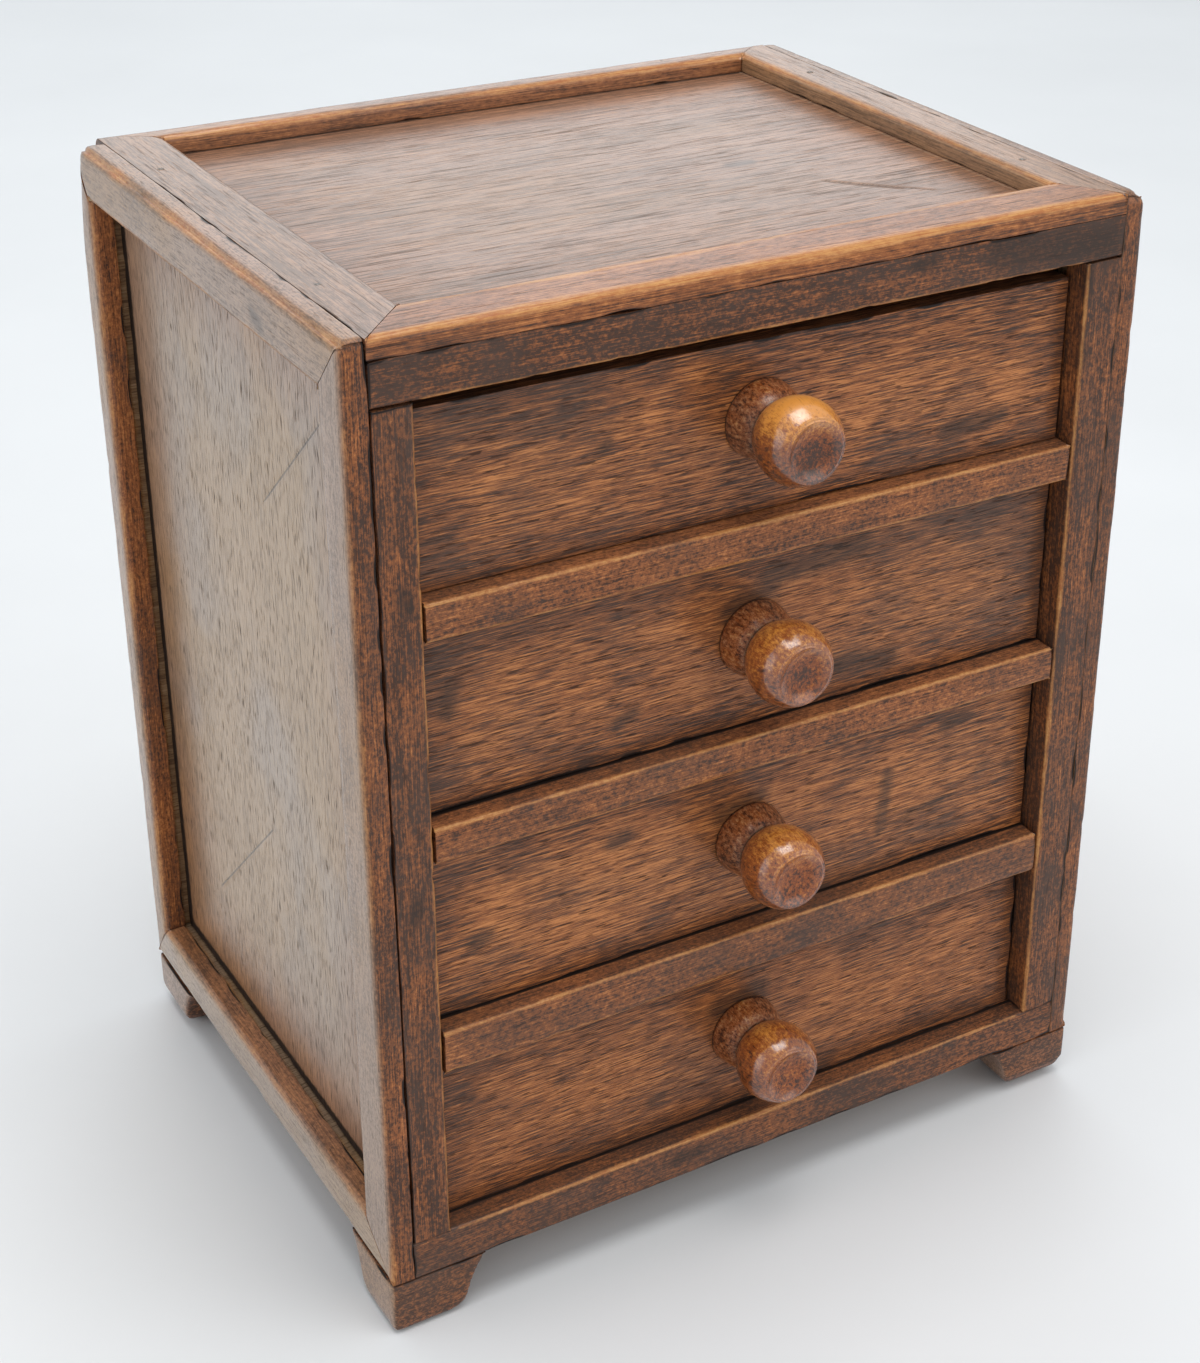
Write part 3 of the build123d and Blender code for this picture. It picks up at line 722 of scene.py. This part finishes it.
# Front frame, with dark stains. The left stile has come loose from the side.
frame_front, frame_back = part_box("front_top_rail")[0].y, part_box("front_left_stile")[1].y
opening_left, opening_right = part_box("front_left_stile")[1].x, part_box("front_right_stile")[0].x
frame_stains = stains("xzy", frame_front, (
    (60.0, 247.0, 92.0, 244.0, 9.0), (36.0, 248.0, 42.0, 248.0, 3.0), (86.8, 232.0, 86.8, 238.0, 3.5),
    (86.3, 215.0, 86.3, 220.0, 3.5), (-92.0, 116.0, -91.0, 122.0, 3.5), (-90.0, 194.0, -91.0, 198.0, 4.0),
    (-24.0, 21.0, -16.0, 21.5, 4.0), (-96.5, 18.0, -96.5, 72.0, 1.6)))
# The bottom rail gets painted shade in the gap under the lowest drawer
for node, joints, grain_axis, tone in (("front_top_rail", {1, 2, 3, "high"}, "x", -1.6),
                                       ("front_bottom_rail", {0, 1, 3, "high"}, "x", -1.1),
                                       ("front_left_stile", {0, 2, 3, "high"}, "z", -1.4),
                                       ("front_right_stile", {0, 1, 2, "high"}, "z", -1.3)):
    board(node, "xzy", None, joints, grain_axis, stained, spacing=strip_grid,
          mitres={3: loose} if node == "front_left_stile" else None,
          borders=[drawer_plane(4)] if node == "front_bottom_rail" else (), border_dirt=gap_shade_line,
          wear=0.95, wear_width=thin_wear, free_x=opening_right if node.endswith("rail") else 1.0,
          tone=tone, fade=front_fade, streaks=0.5, seam_dirt=1.8, patches=frame_stains)

# Shelves, whose front edges are the dividers between the drawers
divider_end_gap = 0.4 * MM
for number in (1, 2, 3):
    node = f"divider_shelf_{number}"
    low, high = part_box(node)
    ends = (opening_left + divider_end_gap, opening_right - divider_end_gap)
    outline = [(ends[0], low.y), (ends[1], low.y), (ends[1], frame_back), (high.x, frame_back),
               (high.x, high.y), (low.x, high.y), (low.x, frame_back), (ends[0], frame_back)]
    # Painted shade in the gap under the drawer front
    board(node, "xyz", outline, {1, 2, 3, 4, 5, 6, 7}, "x", stained, borders=[drawer_plane(number)],
          border_dirt=gap_shade_line, wear=1.0, wear_width=thin_wear, tone=-0.5, fade=front_fade, streaks=0.5)

for node, axes, grain_axis in (("back_panel", "xzy", "x"), ("bottom_panel", "xyz", "x")):
    board(node, axes, None, set(), grain_axis, inside, spacing=hidden_grid)

# Feet

foot_grid = 0.7 * MM
foot_smoothing = 6
foot_gap = 0.4 * MM


def foot(node):
    """A foot with soft worn edges, from the node's own shape."""
    low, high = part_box(node)
    bm = with_modifier(nodes[node].data.copy(), "REMESH", mode="VOXEL", voxel_size=foot_grid)
    for step in range(foot_smoothing):
        bmesh.ops.smooth_vert(bm, verts=bm.verts[:], factor=0.5,
                              use_axis_x=True, use_axis_y=True, use_axis_z=True)
    faces = prism_faces("xyz", rectangle(low, high, "xyz"), (low.z, high.z), {"high"})
    faces[-1] = faces[-1]._replace(gap=foot_gap)
    marks = weather(bm, node, faces, (), "x", wear=0.4, fade=foot_fade, tone=-1.6, streaks=0.4, seam_dirt=2.4)
    keep_inside(bm, low, high)
    return finish_piece(f"{node}_worn", node, bm, marks, stained)


for end in ("front", "back"):
    for hand in ("left", "right"):
        foot(f"{end}_{hand}_foot")

# Knobs: a domed collar, a neck, a ball and a shallow dish in its face

knob_steps = 72
profile_steps = 4
collar_radius, collar_edge = 9.6 * MM, 0.8 * MM
neck_radius, neck_height = 7.3 * MM, 7.9 * MM
ball_radius, ball_centre = 10.3 * MM, 15.2 * MM
ball_degrees = (-38, -24, -10, 4, 18, 30, 40)
dish_radius, dish_depth = 6.9 * MM, 1.7 * MM
tip_depth = 0.01 * MM
knob_dent, knob_dent_scale = 0.10 * MM, 160.0

# The marks on a knob: worn on top, dirty at the collar's foot, painted shade in the neck's crease and behind
# the ball, dull in the dish
knob_wear, knob_streaks, knob_shade_behind_ball, knob_seam = 0.3, 0.3, 0.45, 0.8
base_seam, neck_shade_reach = 1.2 * MM, 1.5 * MM
shade_behind_ball_height, shade_behind_ball_reach = ball_centre - 0.8 * ball_radius, 5.0 * MM
# The collar is darker as painted shade under the ball
collar_shade_tone, collar_dust = -0.5, 0.57
dish_dust, dish_dust_rise = 0.42, 3.0

# The knobs' balls: tone, how much lighter and more golden the upper half is, from wear and painted light from
# above, and how dark the dish is
knob_tones = {1: (-0.6, 4.0, 1.6), 2: (-0.2, 1.4, 1.2), 3: (-0.6, 2.0, 0.6), 4: (-0.6, 1.4, 0.0)}


def smooth_line(points, steps):
    """Points along a smooth line through the given ones."""
    line = []
    padded = [points[0], *points, points[-1]]
    for before, first, second, after in zip(padded, padded[1:], padded[2:], padded[3:]):
        for step in range(steps):
            t = step / steps
            line.append(tuple(
                0.5 * (2 * b + (c - a) * t + (2 * a - 5 * b + 4 * c - d) * t ** 2
                       + (3 * b - a - 3 * c + d) * t ** 3)
                for a, b, c, d in zip(before, first, second, after)))
    return line + [points[-1]]


def knob_profile(length):
    """Radius and height above the drawer front along a knob, from its collar to the middle of its dish."""
    collar = [(collar_radius, collar_edge), (0.97 * collar_radius, 0.32 * neck_height),
              (0.92 * collar_radius, 0.62 * neck_height), (0.83 * collar_radius, 0.86 * neck_height)]
    ball = [(ball_radius * math.cos(angle), ball_centre + ball_radius * math.sin(angle))
            for angle in (math.radians(degrees) for degrees in ball_degrees)]
    rim = [(1.06 * dish_radius, length - 0.25 * MM), (dish_radius, length),
           (0.93 * dish_radius, length - 0.3 * MM)]
    dish = [(0.7 * dish_radius, length - 0.65 * dish_depth), (0.4 * dish_radius, length - 0.92 * dish_depth),
            (0.03 * dish_radius, length - dish_depth)]
    line = smooth_line([*collar, (neck_radius, neck_height), *ball, *rim, *dish], profile_steps)
    return [(collar_radius, 0.0)] + line


def knob(node, front_node, ball_tone, worn_and_lit_top, dish_dark):
    """A turned knob in the place of a node, on the face of a drawer front."""
    low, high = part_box(node)
    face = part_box(front_node)[0].y
    profile = knob_profile(face - low.y)
    x, z = (low.x + high.x) / 2, (low.z + high.z) / 2
    bm = bmesh.new()
    angles = [2 * math.pi * step / knob_steps for step in range(knob_steps)]
    rings = [[bm.verts.new((x + radius * math.cos(angle), face - height, z + radius * math.sin(angle)))
              for angle in angles] for radius, height in profile]
    tip = bm.verts.new((x, face - profile[-1][1] + tip_depth, z))
    for first, second in zip(rings, rings[1:]):
        for i in range(knob_steps):
            j = (i + 1) % knob_steps
            bm.faces.new((first[i], first[j], second[j], second[i]))
    for i in range(knob_steps):
        bm.faces.new((rings[-1][i], rings[-1][(i + 1) % knob_steps], tip))
    bm.faces.new(rings[0])
    bmesh.ops.recalc_face_normals(bm, faces=bm.faces[:])
    bm.normal_update()
    offset = seeded_offset(node)
    marks = {label: [] for label in mark_labels}
    moves = []
    for vertex in bm.verts:
        point = vertex.co
        height = face - point.y
        on_ball = height > neck_height
        in_dish = share(math.hypot(point.x - x, point.z - z), dish_radius) if height > ball_centre else 0.0
        upper = max(0.0, (point.z - z) / ball_radius)
        # Dirt at the collar's foot, painted shade in the crease under the ball
        at_seam = max(share(height, base_seam), share(abs(height - neck_height), neck_shade_reach))
        marks["grain"].append(grain_place(point, "y", offset))
        marks["wear"].append(knob_wear * upper if on_ball else 0.0)
        marks["seam"].append(knob_seam * at_seam)
        marks["fade"].append(0.0)
        marks["streaks"].append(knob_streaks)
        # The upper half is lighter: wear, and painted light from above
        marks["tone"].append(ball_tone + worn_and_lit_top * upper - dish_dark * in_dish if on_ball else collar_shade_tone)
        marks["dust"].append(dish_dust * min(1.0, dish_dust_rise * in_dish) if on_ball else collar_dust)
        # Painted shade behind the ball, in the stain colour
        marks["patch"].append(knob_shade_behind_ball * share(abs(height - shade_behind_ball_height), shade_behind_ball_reach))
        dent = knob_dent * (1.0 + noise.noise(point * knob_dent_scale + offset))
        moves.append((vertex, vertex.normal * dent))
    for vertex, move in moves:
        vertex.co -= move
    return finish_piece(f"{node}_turned", node, bm, marks, turned)


# Drawers

brad_sink = 0.12 * MM
brad_length = 12.0 * MM
inner_arris = 0.25 * MM
drawer_tones = {1: 0.3, 2: 0.3, 3: 0.6, 4: 0.2}

# Dark stains on the drawer fronts: across and up at each end, and the reach, in mm
drawer_stains = {
    1: ((-41.0, 218.0, -38.5, 219.0, 3.0), (-50.0, 222.8, -49.0, 222.8, 2.2),
        (52.0, 203.0, 68.0, 204.0, 5.0)),
    2: ((-37.0, 149.0, -32.0, 150.2, 3.6), (24.0, 148.0, 40.0, 146.0, 6.0), (4.0, 176.0, 30.0, 178.0, 7.0),
        (-79.0, 163.0, -78.0, 170.0, 5.0), (-7.0, 170.0, 4.0, 173.0, 6.0)),
    3: ((-75.0, 101.0, -71.0, 102.4, 4.5), (-38.0, 117.0, -34.0, 117.4, 5.0), (39.5, 96.0, 41.0, 112.0, 4.0),
        (47.0, 98.0, 58.0, 99.2, 3.0), (58.0, 121.5, 64.0, 122.3, 5.0), (67.0, 107.2, 84.0, 102.5, 1.6),
        (-8.0, 115.0, 3.0, 117.5, 6.0)),
    4: ((-54.0, 52.0, -52.0, 52.0, 2.2), (-78.0, 57.0, -76.4, 57.2, 2.6), (-28.0, 36.5, -24.0, 36.9, 3.2),
        (-8.0, 58.0, 4.0, 60.5, 6.5)),
}


def node_body(node):
    """A body with the node's own shape."""
    bm = bmesh.new()
    bm.from_mesh(nodes[node].data)
    bmesh.ops.remove_doubles(bm, verts=bm.verts[:], dist=same_place)
    return bm


def inner_board(node, grain_axis):
    """A board of a drawer's box, with the node's own grooves and slightly rounded edges."""
    bm = node_body(node)
    bmesh.ops.dissolve_limit(bm, angle_limit=0.01, verts=bm.verts[:], edges=bm.edges[:])
    sharp = [e for e in bm.edges if e.is_manifold and e.calc_face_angle() > 1.0]
    bmesh.ops.bevel(bm, geom=sharp, offset=inner_arris, segments=2, profile=0.5, affect="EDGES",
                    clamp_overlap=True)
    offset = seeded_offset(node)
    grain = [grain_place(v.co, grain_axis, offset) for v in bm.verts]
    return finish_piece(f"{node}_board", node, bm, {"grain": grain}, inside, smooth=False)


def brad_heads(node):
    """The brads of a node, sunk until their heads are level with the worn wood."""
    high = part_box(node)[1]
    bm = node_body(node)
    for vertex in bm.verts:
        if node != "case_brads":
            vertex.co.y += brad_sink
        elif abs(vertex.co.x) > high.x - 2 * brad_length:
            vertex.co.x -= math.copysign(brad_sink, vertex.co.x)
        else:
            vertex.co.z -= brad_sink
    return finish_piece(f"{node}_heads", node, bm, {}, iron.material)


for number in (1, 2, 3, 4):
    drawer = f"drawer_{number}"
    low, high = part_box(f"{drawer}_front")
    tops = [max(v.co.z for v in nodes[f"{drawer}_front"].data.vertices if abs(v.co.x - x) < 1.0 * MM)
            for x in (low.x, high.x)]
    outline = [(low.x, low.z), (high.x, low.z), (high.x, tops[1]), (low.x, tops[0])]
    # The fronts darken towards their edges: painted shade with grime
    board(f"{drawer}_front", "xzy", outline, {0, 1, 2, 3}, "x", stained, spacing=drawer_front_grid,
          tone=drawer_tones[number], fade=front_fade, grime=1.4, seam_dirt=2.0,
          patches=stains("xzy", low.y, drawer_stains[number]))
    knob(f"{drawer}_knob", f"{drawer}_front", *knob_tones[number])
    for label, grain_axis in (("left_side", "y"), ("right_side", "y"), ("back", "x"), ("bottom", "x")):
        inner_board(f"{drawer}_{label}", grain_axis)
    brad_heads(f"{drawer}_brads")
brad_heads("case_brads")

# Floor, light and camera

floor_half = 4.0
floor_finish = Finish("pale_floor")
floor_clouds = floor_finish.noise(floor_finish.object_place(), detail=6.0, scale=6.0)
floor_finish.put(floor_finish.shader["Base Color"],
                 floor_finish.mix(floor_clouds, (0.71, 0.72, 0.73), (0.79, 0.80, 0.81)))
floor_finish.shader["Roughness"].default_value = 0.55
floor_mesh = bpy.data.meshes.new("floor")
floor_mesh.from_pydata([(-floor_half, -floor_half, 0.0), (floor_half, -floor_half, 0.0),
                        (floor_half, floor_half, 0.0), (-floor_half, floor_half, 0.0)], [], [(0, 1, 2, 3)])
floor_mesh.materials.append(floor_finish.material)
floor = bpy.data.objects.new("floor", floor_mesh)
bpy.context.scene.collection.objects.link(floor)

light_target = Vector((0.0, 0.0, 0.12))
overhead_place = (0.0, -0.15, 1.4)


def area_light(name, position, size, power, colour):
    """A square lamp that looks at the chest."""
    light = bpy.data.lights.new(name, "AREA")
    light.shape = "SQUARE"
    light.size = size
    light.energy = power
    light.color = colour
    lamp = bpy.data.objects.new(name, light)
    lamp.location = position
    lamp.rotation_euler = (light_target - Vector(position)).to_track_quat("-Z", "Y").to_euler()
    bpy.context.scene.collection.objects.link(lamp)
    return lamp


# The glint is a small lamp that shows only in the polish
area_light("overhead", overhead_place, size=0.8, power=9.0, colour=(1.0, 0.99, 0.98))
glint = area_light("glint", overhead_place, size=0.32, power=7.0, colour=(1.0, 1.0, 1.0))
glint.visible_diffuse = False
area_light("behind", (0.55, 1.35, 1.0), size=1.2, power=4.0, colour=(0.93, 0.97, 1.0))
area_light("left", (-3.0, 0.4, 1.08), size=2.4, power=22.4, colour=(0.95, 0.98, 1.0))
area_light("front", (1.62, -2.34, 1.52), size=2.5, power=21.0, colour=(1.0, 0.98, 0.96))

world = bpy.data.worlds.new("surroundings")
world.use_nodes = True
sky = world.node_tree.nodes["Background"]
sky.inputs["Color"].default_value = (0.93, 0.97, 1.0, 1.0)
sky.inputs["Strength"].default_value = 0.7
bpy.context.scene.world = world

camera_data = bpy.data.cameras.new("camera")
camera_data.lens = 64.33
camera_data.shift_x = -0.0660
camera_data.shift_y = -0.0525
camera_data.clip_start = 0.01
camera = bpy.data.objects.new("camera", camera_data)
camera.location = (-0.27376, -0.48819, 0.42575)
camera.rotation_euler = [math.radians(angle) for angle in (62.915, -0.570, -30.952)]
bpy.context.scene.collection.objects.link(camera)
bpy.context.scene.camera = camera
bpy.context.scene.view_settings.view_transform = "Standard"
